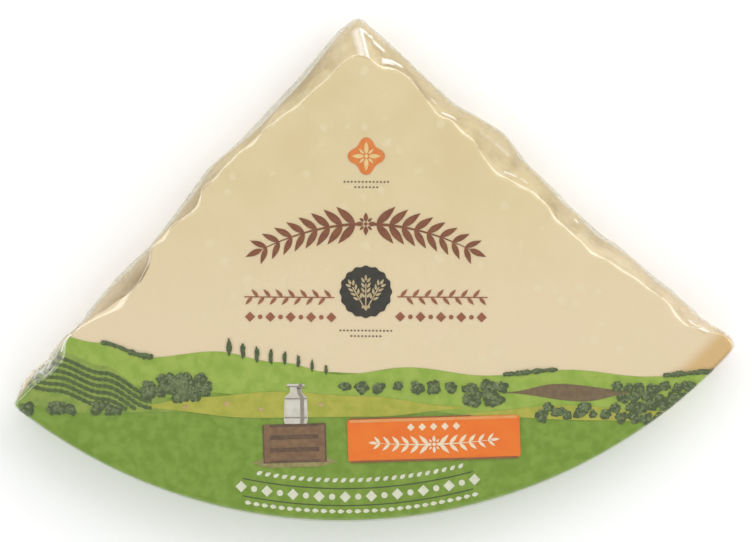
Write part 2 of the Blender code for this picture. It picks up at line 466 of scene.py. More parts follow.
angle = evenly_round(CHEESE_STATIONS)[None, :]
share = section_shares(46, 4)
distance, height = section(angle, share)
hollow = hollow_depth(angle, share, to_points(angle, distance, height))
down_the_wall = np.clip(share / 0.1, 0, 1) * np.clip((1 - share) / 0.1, 0, 1)
gap = PRINT_GAP + (BARE_GAP - PRINT_GAP) * brokenness(angle) * down_the_wall
cheese_height = PRINT_GAP + height * (1 - 2 * PRINT_GAP / THICKNESS)
cheese_shell = closed_body(angle, distance - gap - hollow, cheese_height)
print("deepest hollow, mm:", round(float(hollow.max()), 1))

# %% [markdown]
# ## Cheese paste and rind
#
# Long-aged grating cheese is a dry, grainy, slightly waxy paste the colour of straw. It has no gloss
# of its own: light goes a millimetre or two in and comes out warmed. Pale dots of crystals show in it.
# Towards the rind the paste dries and turns amber over about a centimetre, and the rind itself is
# tanned. All three are one material that reads how far a point is from the wheel's rim.

# %% Cheese material
def aged_cheese_paste():
    """Straw paste with crystals, an amber belt under the rind, painted shade in the hollows and a grainy
    break.
    """
    material, tree, output = new_material("aged_cheese_paste")
    spot = add(tree, "ShaderNodeTexCoord").outputs["Object"]
    centre = (*(wheel_centre * MM), 0)
    from_wheel = add(tree, "ShaderNodeVectorMath", {"operation": "SUBTRACT"}, {0: spot, 1: centre}).outputs[0]
    flat = add(tree, "ShaderNodeVectorMath", {"operation": "MULTIPLY"}, {0: from_wheel, 1: (1, 1, 0)})
    radius = add(tree, "ShaderNodeVectorMath", {"operation": "LENGTH"}, {0: flat.outputs[0]}).outputs["Value"]
    down = add(tree, "ShaderNodeSeparateXYZ", None, {0: spot}).outputs["Y"]
    cloud = add(tree, "ShaderNodeTexNoise", None, {"Vector": spot, "Scale": 1 / (24 * MM), "Detail": 4.0})
    paste = blend_colours(tree, ramp(tree, down, 0.05, -0.03), "#DCC798", "#E7D2B0")
    paste = blend_colours(tree, ramp(tree, cloud.outputs["Fac"], 0.35, 0.65, 0.0, 0.4), paste, "#E6D4AE")
    bent = add(tree, "ShaderNodeTexNoise", None, {"Vector": spot, "Scale": 1 / (5 * MM), "Detail": 2.0})
    shift = add(tree, "ShaderNodeVectorMath", {"operation": "MULTIPLY_ADD"},
                {0: bent.outputs["Color"], 1: (4 * MM, 4 * MM, 4 * MM), 2: spot}).outputs[0]
    crystals = add(tree, "ShaderNodeTexVoronoi", None, {"Vector": shift, "Scale": 1 / (8 * MM)})
    chosen = add(tree, "ShaderNodeSeparateXYZ", None, {0: crystals.outputs["Color"]}).outputs["X"]
    dots = maths(tree, "MULTIPLY", ramp(tree, crystals.outputs["Distance"], 0.30, 0.12, 0.0, 0.5),
                 ramp(tree, chosen, 0.35, 0.6))
    paste = blend_colours(tree, dots, paste, "#E9DBB9")
    # Painted shade: the deeper a hollow lies under the film, the darker and browner the paste is painted.
    hollow_here = add(tree, "ShaderNodeAttribute", {"attribute_name": "hollow"}).outputs["Fac"]
    paste = blend_colours(tree, ramp(tree, hollow_here, 0.5, 4.8, 0.0, 0.95), paste, "#8A6B30")
    belt = ramp(tree, radius, (WHEEL_RADIUS - 14) * MM, (WHEEL_RADIUS - 7) * MM)
    paste = blend_colours(tree, belt, paste, "#D3AE70")
    crust = ramp(tree, radius, (WHEEL_RADIUS - 2.6) * MM, (WHEEL_RADIUS - 1.6) * MM)
    paste = blend_colours(tree, crust, paste, "#AE854A")
    grain = add(tree, "ShaderNodeTexNoise", None, {"Vector": spot, "Scale": 1 / (0.7 * MM), "Detail": 5.0})
    bump = add(tree, "ShaderNodeBump", None,
               {"Strength": 0.3, "Distance": 0.3 * MM, "Height": grain.outputs["Fac"]})
    shader = add(tree, "ShaderNodeBsdfPrincipled", None,
                 {"Base Color": paste, "Roughness": 0.6, "IOR": 1.45, "Normal": bump.outputs["Normal"]})
    tree.links.new(shader.outputs[0], output.inputs["Surface"])
    return material


cheese = make_piece("cheese", *cheese_shell, aged_cheese_paste(), "cheese_paste",
                    [("hollow", on_all_points(hollow))])
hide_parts("vacuum_packed_wedge")

# %% [markdown]
# ## The film
#
# Shrink film is a clear plastic about a tenth of a millimetre thick, and it clings to every bump but
# bridges the hollows. Where it clings it is seen only by what it mirrors: thin bright lines where it
# turns over an edge, and a grey veil where it is seen along its surface. So its material is see-through
# mixed with a mirror: 7 % of the light straight on, which is two faces' worth, and more by the fifth
# power as the view grazes it. Where it hangs free it is finely crinkled and raised in folds; there a
# grey-to-white sheet is mixed in as painted sheen and painted glints, as dense as the folds and the
# slack on the points say.

# %% Folds with painted glints, and slack in the film
FILM_STATIONS = 1240
FILM_INSET = 0.04
GATHERS = ((178.5, 5.5, 0.9), (92.0, 5.0, 0.30), (9.0, 3.5, 0.45), (157.0, 4.0, 0.25))
# Folds raised a little and painted white as glints: direction and share where each starts, direction and
# share where it ends, half width in millimetres, and whiteness.
FOLDS_AND_GLINTS = ((92.1, 0.29, 91.0, 0.03, 0.55, 1.0), (92.9, 0.26, 92.1, 0.06, 1.9, 0.60),
         (96.5, 0.40, 88.5, 0.40, 2.2, 0.32), (92.1, 0.30, 91.3, 0.29, 0.6, 1.0),
         (90.8, 0.28, 90.3, 0.29, 0.5, 0.9),
         (89.8, 0.26, 88.3, 0.245, 0.7, 1.0), (88.2, 0.11, 86.6, 0.128, 0.75, 1.0),
         (86.6, 0.128, 84.9, 0.15, 0.65, 0.9), (88.3, 0.07, 86.4, 0.085, 0.5, 0.9),
         (78.2, 0.15, 77.2, 0.15, 0.4, 0.6), (75.2, 0.085, 72.4, 0.088, 0.55, 0.9),
         (66.5, 0.25, 64.0, 0.24, 1.3, 0.3), (62.0, 0.24, 58.6, 0.26, 1.2, 0.35),
         (57.1, 0.085, 54.1, 0.11, 0.4, 0.7), (52.9, 0.125, 51.2, 0.122, 0.4, 0.6),
         (37.4, 0.28, 36.5, 0.275, 0.5, 0.8), (28.0, 0.12, 22.0, 0.16, 0.4, 0.4),
         (9.6, 0.13, 8.3, 0.10, 0.5, 0.8), (8.3, 0.10, 7.4, 0.058, 0.5, 0.8),
         (7.9, 0.02, 7.4, 0.012, 0.5, 0.8), (6.2, 0.02, 6.6, 0.16, 0.45, 0.5),
         (6.6, 0.16, 6.3, 0.45, 0.5, 0.5), (172.6, 0.02, 175.8, 0.035, 0.4, 0.8),
         (173.4, 0.10, 177.2, 0.20, 0.5, 0.7), (178.6, 0.05, 180.4, 0.08, 0.4, 0.8),
         (177.0, 0.26, 181.0, 0.33, 0.6, 0.6), (174.0, 0.24, 176.5, 0.34, 0.7, 0.5),
         (182.3, 0.10, 180.9, 0.08, 0.4, 0.7))


def gathered(angle):
    """How much the film gathers: a little everywhere, more at the corners, as bells in direction."""
    much = 0.10
    for direction, half_width, amount in GATHERS:
        much = much + amount * np.exp(-0.5 * (away_from(angle, direction) / half_width) ** 2)
    return much


def pleats(angle, share, points):
    """Sharp-crested waves that run down the wall, from 0 to 1: a folded noise, stretched in height."""
    folded = 1 - np.abs(2 * layered_noise(points * (1, 1, 0.4), 4.2, 71, 2) - 1)
    fade = np.clip((share - 0.04) / 0.12, 0, 1) * np.clip((1 - share) / 0.1, 0, 1)
    return fade * np.clip((folded - 0.55) / 0.45, 0, 1) ** 1.5


def folded(angle, share):
    """Single folds with painted glints: strokes between two places on the wall, whose painted whiteness falls
    off as a bell.
    """
    down, round_about = wall_length(angle), edges(angle)[1]
    white = np.zeros(np.broadcast(angle, share).shape)
    for turn_from, share_from, turn_to, share_to, half_width, amount in FOLDS_AND_GLINTS:
        x = np.radians(away_from(angle, turn_from)) * round_about
        y = (share - share_from) * down
        to_x, to_y = np.radians(turn_to - turn_from) * round_about, (share_to - share_from) * down
        along = np.clip((x * to_x + y * to_y) / (to_x ** 2 + to_y ** 2), 0, 1)
        away = np.hypot(x - along * to_x, y - along * to_y)
        white = np.maximum(white, amount * np.exp(-0.5 * (away / half_width) ** 2))
    return white


def slack(angle, share, points):
    """Where the film hangs free, which also sets its painted sheen: a belt along the widest line, over the
    hollows, at the tip and a corner.
    """
    belt = np.exp(-0.5 * ((share - 0.47) / 0.12) ** 2)
    below_the_rim = np.clip((share - 0.24) / 0.2, 0, 1)
    over_hollows = np.clip(hollow_depth(angle, share, points) / 4.5, 0, 1) * below_the_rim
    corner = np.exp(-0.5 * (away_from(angle, 177.3) / 4.2) ** 2) * np.clip(share / 0.06, 0, 1)
    tip = np.exp(-0.5 * (away_from(angle, 92.8) / 1.6) ** 2) * np.clip((share - 0.24) / 0.15, 0, 1)
    return brokenness(angle) * np.clip(0.45 * belt + 0.25 * over_hollows + 0.5 * corner + 0.3 * tip, 0, 1)


# %% Film material and shell
def clear_shrink_film():
    """Clear film: see-through with a smooth mirror that grows as the view grazes it, and a painted white
    sheen and glints over its crinkles and folds.
    """
    material, tree, output = new_material("clear_shrink_film")
    spot = add(tree, "ShaderNodeTexCoord").outputs["Object"]
    crease = add(tree, "ShaderNodeAttribute", {"attribute_name": "crease"}).outputs["Fac"]
    loose = add(tree, "ShaderNodeAttribute", {"attribute_name": "slack"}).outputs["Fac"]
    waves = add(tree, "ShaderNodeTexNoise", None, {"Vector": spot, "Scale": 1 / (3 * MM), "Detail": 3.0})
    bump = add(tree, "ShaderNodeBump", None,
               {"Strength": ramp(tree, maths(tree, "MAXIMUM", crease, loose), 0.0, 0.4, 0.02, 0.35),
                "Distance": 0.5 * MM, "Height": waves.outputs["Fac"]})
    facing = add(tree, "ShaderNodeLayerWeight", None, {"Blend": 0.5, "Normal": bump.outputs["Normal"]})
    grazing = maths(tree, "POWER", facing.outputs["Facing"], 5.0)
    clear = add(tree, "ShaderNodeBsdfTransparent", None, {"Color": linear("#F6F6F3")})
    mirror = add(tree, "ShaderNodeBsdfPrincipled", None,
                 {"Base Color": linear("#EDEDEA"), "Metallic": 0.9,
                  "Roughness": ramp(tree, maths(tree, "MAXIMUM", crease, loose), 0.0, 0.5, 0.13, 0.26),
                  "Normal": bump.outputs["Normal"]})
    glassy = add(tree, "ShaderNodeMixShader", None,
                 {0: ramp(tree, grazing, 0.0, 1.0, 0.07, 0.35), 1: clear.outputs[0], 2: mirror.outputs[0]})
    # Painted sheen and glints: a grey diffuse sheet over the slack, turning white over folds, stands in for
    # the light that crinkles and folds reflect.
    crinkles = add(tree, "ShaderNodeTexNoise", None, {"Vector": spot, "Scale": 1 / (1.8 * MM), "Detail": 3.0})
    veil = maths(tree, "MULTIPLY", loose, ramp(tree, crinkles.outputs["Fac"], 0.38, 0.62, 0.18, 0.70))
    painted_sheen = maths(tree, "MAXIMUM", veil, ramp(tree, crease, 0.05, 1.0, 0.0, 0.88))
    shade = blend_colours(tree, ramp(tree, crease, 0.05, 0.45), "#BFB9A8", "#FBF8EE")
    white = add(tree, "ShaderNodeBsdfPrincipled", None,
                {"Base Color": shade, "Roughness": 0.35, "Normal": bump.outputs["Normal"]})
    mix = add(tree, "ShaderNodeMixShader", None, {0: painted_sheen, 1: glassy.outputs[0], 2: white.outputs[0]})
    tree.links.new(mix.outputs[0], output.inputs["Surface"])
    return material


angle = evenly_round(FILM_STATIONS)[None, :]
share = section_shares(50, 8)
distance, height = section(angle, share)
places = to_points(angle, distance, height)
crest = pleats(angle, share, places) * gathered(angle) * brokenness(angle)
# Pleat crests and the listed folds, raised in the film and painted white as sheen and glints.
creases_and_glints = np.maximum(0.7 * crest, folded(angle, share))
film_height = FILM_INSET + height * (1 - 2 * FILM_INSET / THICKNESS)
raised = distance - FILM_INSET + 0.9 * crest + 0.3 * creases_and_glints
film = make_piece("shrink_film", *closed_body(angle, raised, film_height), clear_shrink_film(), "clear_film",
                  [("crease", on_all_points(creases_and_glints)), ("slack", on_all_points(slack(angle, share, places)))])
print("film, share of points with a visible fold:", round(float((creases_and_glints > 0.3).mean()), 3))

# %% [markdown]
# ## Draping the print
#
# The print is ink on the inner side of the film. Each shape is drawn flat, in millimetres on the front
# face, and draped: what lies past the front edge runs on down the wall and then along the back. Shapes
# lie in thin layers, the lowest layer nearest the cheese, so that a later shape covers an earlier one.

# %% Laying flat drawings on the pack
LAYER_STEP = 0.09
LOWEST_INK = 0.80
STACK = 175                 # shapes of one piece that lie one on another before the count starts again


def drape(flat, layer):
    """Lays flat points on the pack: past the flat face, extra distance becomes a share of the wall.

    The layer is a number, or one for each point, and each whole step lies LAYER_STEP higher.
    """
    depth = LOWEST_INK - LAYER_STEP * layer
    x, y = flat[..., 0], flat[..., 1]
    angle = np.arctan2(y - core[1], x - core[0])
    reach = np.hypot(x - core[0], y - core[1])
    past = np.maximum(reach - smooth_wall(angle, 0.0)[0], 0)
    share = past / wall_length(angle)
    distance, height = section(angle, np.minimum(share, 1))
    distance = np.where(past > 0, distance - np.maximum(share - 1, 0) * wall_length(angle), reach)
    height = depth + height * (1 - 2 * depth / THICKNESS)
    return to_points(angle, distance - depth * np.minimum(past / RIM, 1), height)


def fans(outlines, rings=1):
    """Filled shapes from closed outlines (shape, corner, xy): rings towards the middle and a fan."""
    shapes, corners, _ = outlines.shape
    middle = outlines.mean(axis=1, keepdims=True)
    shares = np.arange(rings, 0, -1) / rings
    points = np.concatenate([middle + share * (outlines - middle) for share in shares] + [middle], axis=1)
    around = np.arange(corners)
    after = (around + 1) % corners
    pole = rings * corners
    fan = np.column_stack((pole - corners + around, pole - corners + after, np.full((corners, 2), pole)))
    one = np.vstack((grid_quads(rings, corners, closed=True), fan))
    faces = one[None] + (np.arange(shapes) * (pole + 1))[:, None, None]
    return points.reshape(-1, 2), faces.reshape(-1, 4)


def stroke(path, width):
    """A ribbon along a path (point, xy): half the width to each side, square to the direction."""
    path = np.asarray(path, dtype=float)
    along = np.gradient(path, axis=0)
    side = np.column_stack((-along[:, 1], along[:, 0])) / np.linalg.norm(along, axis=1)[:, None]
    reach = np.broadcast_to(width, len(path))[:, None] / 2
    return np.concatenate((path + side * reach, path - side * reach)), grid_quads(2, len(path))


def field(across, low, high, rows=12):
    """A field between two lines over the same x positions, with rows from the low to the high line."""
    rise = np.linspace(0, 1, rows)[:, None]
    x = np.broadcast_to(across, (rows, len(across)))
    return np.stack((x, low + (high - low) * rise), axis=-1).reshape(-1, 2), grid_quads(rows, len(across))


def trimmed(flat):
    """The ink stops raggedly a little way down the left broken side, where the film was pulled thin."""
    x, y = flat[:, 0] - core[0], flat[:, 1] - core[1]
    angle, reach = np.arctan2(y, x), np.hypot(x, y)
    turn = np.degrees(angle) % 360
    ragged = 5.0 * np.clip(layered_noise(to_points(angle, 120.0, 0.0), 4.5, 61, 2) - 0.42, 0, 1) / 0.3
    onto_rind = np.clip((turn - 181.5) / 2.5, 0, 1) + np.clip((140 - turn) / 2.5, 0, 1)
    at_corner = 15.0 * np.exp(-0.5 * ((turn - 178.0) / 3.0) ** 2)
    limit = edges(angle)[0] - 0.2 + ragged + at_corner + 90 * onto_rind
    share = np.minimum(1, limit / np.maximum(reach, 1e-6))
    return np.column_stack((core[0] + x * share, core[1] + y * share))


def stacked(corners):
    """A fraction of a layer for every point: each separate shape lies a hair above the one before it."""
    lowest = corners.min(axis=1)[1:]
    opens = lowest > np.maximum.accumulate(corners.max(axis=1))[:-1]
    shape = np.zeros(corners.max() + 1, dtype=int)
    shape[lowest[opens]] = 1
    return 0.8 * (np.cumsum(shape) % STACK) / STACK


def printed(name, parts, layer, ink):
    """One piece of ink from flat parts, each points and faces, with every face turned to the eye."""
    points, faces, start = [], [], 0
    for flat, corners in parts:
        a, b, c = (flat[corners[:, i]] for i in range(3))
        turned = (b - a)[:, 0] * (c - a)[:, 1] - (b - a)[:, 1] * (c - a)[:, 0] < 0
        faces.append(np.where(turned[:, None], corners[:, ::-1], corners) + start)
        points.append(flat)
        start += len(flat)
    faces = np.vstack(faces)
    draped = drape(trimmed(np.vstack(points)), layer + stacked(faces))
    faces = [list(dict.fromkeys(face)) for face in faces.tolist()]
    return make_piece(name, draped, faces, ink, "printed_ink")


def ink(name, main, other, size, strength=1.0):
    """Gravure ink under film: two close tones in soft blotches of a given size, with hardly any gloss."""
    material, tree, output = new_material(name)
    spot = add(tree, "ShaderNodeTexCoord").outputs["Object"]
    blotches = add(tree, "ShaderNodeTexNoise", None,
                   {"Vector": spot, "Scale": 1 / (size * MM), "Detail": 5.0, "Roughness": 0.6})
    factor = ramp(tree, blotches.outputs["Fac"], 0.36, 0.64, 0.0, strength)
    shader = add(tree, "ShaderNodeBsdfPrincipled", None,
                 {"Base Color": blend_colours(tree, factor, main, other), "Roughness": 0.5, "IOR": 1.45,
                  "Specular IOR Level": 0.15})
    tree.links.new(shader.outputs[0], output.inputs["Surface"])
    return material


# %% [markdown]
# ## Fields and hills
#
# The scene is a made-up countryside in flat fields of colour. The meadow is the ground of all of it: a
# fan round the core that starts at the horizon, runs down over the rind side and ends in a plain edge
# on the back. Hills and fields are bands between two lines, each line a few heights joined smoothly.

# %% Meadow
HORIZON_LEFT, HORIZON_RIGHT = math.radians(177.0), math.radians(359.0)
BACK_MARGIN = 26.0


def smooth_line(x, knots):
    """Heights at x from a few (x, height) knots, joined by half cosine waves."""
    places, heights = np.array(knots).T
    here = np.clip(np.searchsorted(places, x) - 1, 0, len(places) - 2)
    share = np.clip((x - places[here]) / (places[here + 1] - places[here]), 0, 1)
    return heights[here] + (heights[here + 1] - heights[here]) * (1 - np.cos(math.pi * share)) / 2


meadow_angle = np.linspace(HORIZON_LEFT, HORIZON_RIGHT, 640)[None, :]
edge = edges(meadow_angle)[0] - 2.0
over = 2.0 + wall_length(meadow_angle) + BACK_MARGIN
meadow_reach = np.vstack((np.linspace(0.01, 1.0, 24)[:, None] ** 0.7 * edge,
                          edge + np.linspace(0, 1, 80)[1:, None] * over))
meadow_flat = np.stack((core[0] + meadow_reach * np.cos(meadow_angle),
                        core[1] + meadow_reach * np.sin(meadow_angle)), axis=-1)
printed("print_meadow", [(meadow_flat.reshape(-1, 2), grid_quads(*meadow_reach.shape))], 0,
        ink("ink_meadow_green", "#729323", "#82A138", 4.0))

# %% Hills and fields behind the meadow
far_x = np.linspace(-136.0, 172.0, 460)
skyline = smooth_line(far_x, ((-136, -25.5), (-114, -30.0), (-92, -36.0), (-66, -33.6), (-40, -38.0),
                              (-14, -43.2), (14, -40.2), (46, -43.6), (80, -41.2), (112, -44.0),
                              (142, -42.0), (172, -41.0)))
printed("print_far_hills", [field(far_x, skyline - 17, skyline, 16)], 1,
        ink("ink_hill_green", "#8FAD3C", "#A2BA4E", 6.0))

slope_x = np.linspace(-150, -80, 200)
slope_top = smooth_line(slope_x, ((-150, -30.5), (-132, -33.0), (-112, -39.5), (-96, -48.0), (-80, -55.0)))
slope_low = smooth_line(slope_x, ((-150, -55.0), (-120, -59.0), (-80, -58.5)))
printed("print_vineyard_slope", [field(slope_x, slope_low, slope_top)], 2,
        ink("ink_vineyard_green", "#7F9A3C", "#93A848", 5.0))

hay_x, east_x = np.linspace(-96, 36, 260), np.linspace(38, 172, 260)
hay = [field(hay_x, smooth_line(hay_x, ((-96, -57.0), (-50, -61.0), (0, -60.5), (36, -57.4))),
             smooth_line(hay_x, ((-96, -55.8), (-74, -52.5), (-40, -50.2), (-6, -52.0), (36, -56.4)))),
       field(east_x, smooth_line(east_x, ((38, -60.0), (90, -62.0), (130, -63.0), (172, -62.5))),
             smooth_line(east_x, ((38, -58.8), (78, -55.8), (118, -58.2), (172, -54.5))))]
printed("print_hay_fields", hay, 3, ink("ink_hay_yellow_green", "#A6AB3A", "#B8B548", 5.0))

plough_x = np.linspace(54, 108, 110)
plough_top = smooth_line(plough_x, ((54, -50.4), (76, -47.0), (108, -50.0)))
plough_low = smooth_line(plough_x, ((54, -50.8), (86, -54.2), (108, -50.6)))
printed("print_ploughed_field", [field(plough_x, plough_low, plough_top)], 3,
        ink("ink_earth_brown", "#6F5B41", "#7D694C", 2.0))

# %% [markdown]
# ## Vine rows, trees and hay
#
# Small things are repeated shapes with few corners. A crown is a circle whose radius wanders, so that
# its edge looks leafy; each tree is a dark crown with a lighter one on it, up and to the left.

# %% Vine rows
vine_x = np.linspace(-149, -92, 90)
vine_rows = []
for row in range(6):
    level = smooth_line(vine_x, ((-149, -32.4), (-132, -35.2), (-112, -41.5), (-92, -50.5))) - (1 + 2.7 * row)
    inside = level > np.interp(vine_x, slope_x, slope_low) + 1.0
    leafy = 1.55 + 0.35 * np.sin(vine_x * 2.6 + row) + 0.25 * np.sin(vine_x * 4.3 + 2 * row)
    vine_rows.append(stroke(np.column_stack((vine_x, level))[inside], leafy[inside]))
printed("print_vine_rows", vine_rows, 3, ink("ink_vine_green", "#465A2C", "#586C34", 1.5))

seeded = np.random.default_rng(5)


def crowns(centres, radii, squash=0.9, corners=16):
    """Tufts of leaves: circles with every corner's radius moved by up to a fifth, slightly squashed."""
    turn = np.linspace(0, math.tau, corners, endpoint=False)
    wander = np.asarray(radii)[:, None] * (1 + 0.22 * (seeded.random((len(radii), corners)) * 2 - 1))
    ring = np.stack((wander * np.cos(turn), squash * wander * np.sin(turn)), axis=-1)
    return np.asarray(centres)[:, None, :] + ring


def tufts(centres, radii, each, spread, size, offset=(0.0, 0.0)):
    """Smaller circles strewn round each tree's middle: their places and radii are shares of its own."""
    turn = seeded.random((len(radii), each)) * math.tau
    away = spread * np.sqrt(seeded.random((len(radii), each)))
    own = np.asarray(radii)[:, None, None]
    places = centres[:, None, :] + own * (np.stack((away * np.cos(turn), away * np.sin(turn)), -1) + offset)
    sizes = own[..., 0] * size * (0.7 + 0.6 * seeded.random((len(radii), each)))
    return places.reshape(-1, 2), sizes.ravel()


def scattered(count, low, high):
    """Places spread at random between two corners of a rectangle."""
    return np.array(low) + seeded.random((count, 2)) * (np.array(high) - np.array(low))


# %% Copse, avenue, orchard and poplars
rows_of_trees = [(here, -48.6 - 4.1 * row) for row in range(4)
                 for here in np.arange(100.0 + 2.4 * (row % 2), 152, 5.0)]
orchard = np.array(rows_of_trees) + scattered(len(rows_of_trees), (-0.6, -0.5), (0.6, 0.5))
orchard = orchard[np.hypot(*(orchard - wheel_centre).T) < WHEEL_RADIUS]
avenue = np.column_stack((np.linspace(-12, 52.8, 10), np.full(10, -48.6)))
avenue += scattered(10, (-0.8, -0.6), (0.8, 0.6))
woods = np.vstack((scattered(34, (-94, -52.5), (-66, -44.0)), scattered(9, (38, -54.5), (52, -48.5)),
                   scattered(13, (69, -60.5), (98, -56.5)),
                   scattered(9, (-146, -58.5), (-104, -56.5)), avenue))
trees = np.vstack((orchard, woods))
tree_radii = np.append(2.4 + 0.5 * seeded.random(len(orchard)), 1.9 + 1.4 * seeded.random(len(woods)))

hedge_x = np.concatenate((np.arange(-112, -92, 1.3), np.arange(54, 76, 1.3), np.arange(120, 146, 1.3)))
hedge = np.column_stack((hedge_x, np.interp(hedge_x, far_x, skyline) + 0.2))
hedge_radii = 0.8 + 0.6 * seeded.random(len(hedge))
poplar_x = np.linspace(-60, -20, 8)
poplar_radii = np.linspace(1.05, 0.65, 8)
poplars = np.column_stack((poplar_x, np.interp(poplar_x, far_x, skyline) + 2.2 * poplar_radii))

dark_leaves = [fans(crowns(trees, tree_radii * 0.8), 2),
               fans(crowns(*tufts(trees, tree_radii, 7, 0.8, 0.42)), 2),
               fans(crowns(hedge, hedge_radii)), fans(crowns(poplars, poplar_radii, 3.4))]
printed("print_leaves_dark", dark_leaves, 4, ink("ink_leaf_dark", "#3E4D28", "#526238", 1.3))
mid_leaves = [fans(crowns(*tufts(trees, tree_radii, 5, 0.75, 0.26, (-0.10, 0.12)))),
              fans(crowns(*tufts(hedge, hedge_radii, 2, 0.6, 0.4, (-0.1, 0.2))))]
printed("print_leaves_mid", mid_leaves, 5, ink("ink_leaf_mid", "#5C6D41", "#6A7B50", 1.0))
light_leaves = [fans(crowns(*tufts(trees, tree_radii, 4, 0.6, 0.15, (-0.24, 0.28)), corners=9))]
printed("print_leaves_light", light_leaves, 6, ink("ink_leaf_light", "#7F8F62", "#728358", 1.0))

bales = np.array(((-78, -56.4), (-61, -55.2), (-47, -57.6), (-22, -55.6), (84, -59.0), (97, -60.2)))
printed("print_hay_bales", [fans(crowns(bales, np.full(len(bales), 1.25), 0.8))], 4,
        ink("ink_straw", "#B39A5C", "#C4AE74", 1.0))

# %% [markdown]
# ## The ornaments, the plate and the churn
#
# Plain ornaments stand on the cheese and in the meadow: an amber flower, a leafy garland that hangs
# over a dark badge with a sheaf of wheat, a twig and a row of lozenges on each side of it, and a
# border along the rind. An orange plate with a second garland lies over the meadow, and a milk churn
# on a crate stands to its left.

# %% Shapes for ornaments
def regular(centres, radii, corners, turn=0.0, squash=1.0):
    """Regular outlines: corners evenly round a circle, turned by an angle and squashed in height."""
    around = turn + np.linspace(0, math.tau, corners, endpoint=False)
    ring = np.stack((np.cos(around), squash * np.sin(around)), axis=-1)
    return np.asarray(centres)[:, None, :] + np.asarray(radii)[:, None, None] * ring


def bars(centres, width, height, turn=0.0):
    """Upright bars with square ends, turned together by an angle."""
    corner = np.array(((-1, -1), (1, -1), (1, 1), (-1, 1))) * (np.array((width, height)) / 2)
    turned = corner @ np.array(((math.cos(turn), math.sin(turn)), (-math.sin(turn), math.cos(turn))))
    return np.asarray(centres)[:, None, :] + turned


def leaves(roots, directions, lengths, plump):
    """Leaves: two equal arcs from root to point, each a sine wave high, in the given directions."""
    along = np.concatenate((np.linspace(0, 1, 9), np.linspace(1, 0, 9)[1:-1]))
    aside = np.concatenate((np.ones(9), -np.ones(7))) * plump * np.sin(math.pi * along ** 0.8)
    turn = np.asarray(directions)[:, None]
    size = np.asarray(lengths)[:, None]
    ring = np.stack((size * (along * np.cos(turn) - aside * np.sin(turn)),
                     size * (along * np.sin(turn) + aside * np.cos(turn))), axis=-1)
    return np.asarray(roots)[:, None, :] + ring


def in_a_row(middle, pitch, count, tilt=-0.008):
    """Places in a row, evenly apart, on a line with a slight tilt."""
    step = (np.arange(count) - (count - 1) / 2) * pitch
    return np.array(middle) + np.column_stack((step, step * tilt))


def along_rind(radius, pitch, count, middle=0.0):
    """Places evenly apart on an arc round the wheel's centre, and the direction of the arc at each."""
    turn = middle + (np.arange(count) - (count - 1) / 2) * pitch / radius
    return wheel_centre + radius * np.column_stack((np.sin(turn), -np.cos(turn))), turn


def garland(half_length, sag, pairs, size):
    """Two branches from the middle outwards on a parabola, with pairs of leaves that shrink outwards."""
    way, at = np.linspace(0.07, 1, 40), np.linspace(0.10, 0.93, pairs)
    slope = np.arctan2(2 * sag * at, half_length)
    parts = []
    for side in (-1, 1):
        along = (slope if side > 0 else math.pi - slope)
        roots = np.column_stack((side * half_length * at, sag * at ** 2))
        stem = np.column_stack((side * half_length * way, sag * way ** 2))
        parts.append(stroke(stem, 0.09 * size * (1.3 - way)))
        parts += [fans(leaves(roots, along + up * 0.8, size * (1 - 0.35 * at), 0.155)) for up in (-1, 1)]
        end = ((side * half_length * 0.97, sag * 0.94),)
        parts.append(fans(leaves(end, along[-1:], (0.7 * size,), 0.16)))
    return parts


def moved(parts, place):
    """The same parts with a place added to every point."""
    return [(points + place, faces) for points, faces in parts]


# %% Garland and side rows, in brown
garland_at = np.array((-3.6, 19.0))
four_ways = np.arange(4) * math.pi / 2


def flower(long, short, plump):
    """Four long petals and four short ones round a small disc, each rooted a little way out."""
    roots = np.column_stack((np.cos(four_ways), np.sin(four_ways))), np.column_stack(
        (np.cos(four_ways + math.pi / 4), np.sin(four_ways + math.pi / 4)))
    return [fans(leaves(0.9 * roots[0], four_ways, np.full(4, long), plump)),
            fans(leaves(1.3 * roots[1], four_ways + math.pi / 4, np.full(4, short), plump)),
            fans(regular(((0.0, 0.0),), (0.75,), 16))]


printed("print_garland", moved(garland(44.0, -11.0, 8, 11.0) + flower(3.9, 2.3, 0.24), garland_at), 1,
        ink("ink_garland_brown", "#7A4328", "#87502F", 3.0))

badge_at = np.array((-3.6, -9.0))
rows = []
for side in (-1, 1):
    twigs = in_a_row(badge_at + (side * 30.6, -2.2), 2.5, 14)
    outwards = (0.0 if side > 0 else math.pi) + 0.85 * (-1.0) ** np.arange(14)
    rows.append(fans(leaves(twigs, outwards, np.full(14, 4.3), 0.17)))
    rows.append(stroke(in_a_row(badge_at + (side * 31.6, -2.2), 1.2, 32), 0.45))
    gems = in_a_row(badge_at + (side * 31.0, -10.4), 4.2, 9)
    rows += [fans(regular(gems[0::2], np.full(5, 2.1), 4)), fans(regular(gems[1::2], np.full(4, 0.95), 16))]
printed("print_ornament_rows", rows, 1, ink("ink_ornament_brown", "#94563B", "#9E6145", 3.0))

# %% Badge with a sheaf, amber flower and dotted lines
around = np.linspace(0, math.tau, 96, endpoint=False)
circle = np.column_stack((np.cos(around), np.sin(around)))


def waved_disc(place, radius, height, count):
    """A circle whose radius rises and falls by a share of itself, a whole number of times round."""
    return fans((place + (radius * (1 + height * np.cos(count * around)))[:, None] * circle)[None])


printed("print_badge", [waved_disc(badge_at, 10.6, 0.03, 16)], 1,
        ink("ink_badge_black", "#26231D", "#332F27", 3.0))


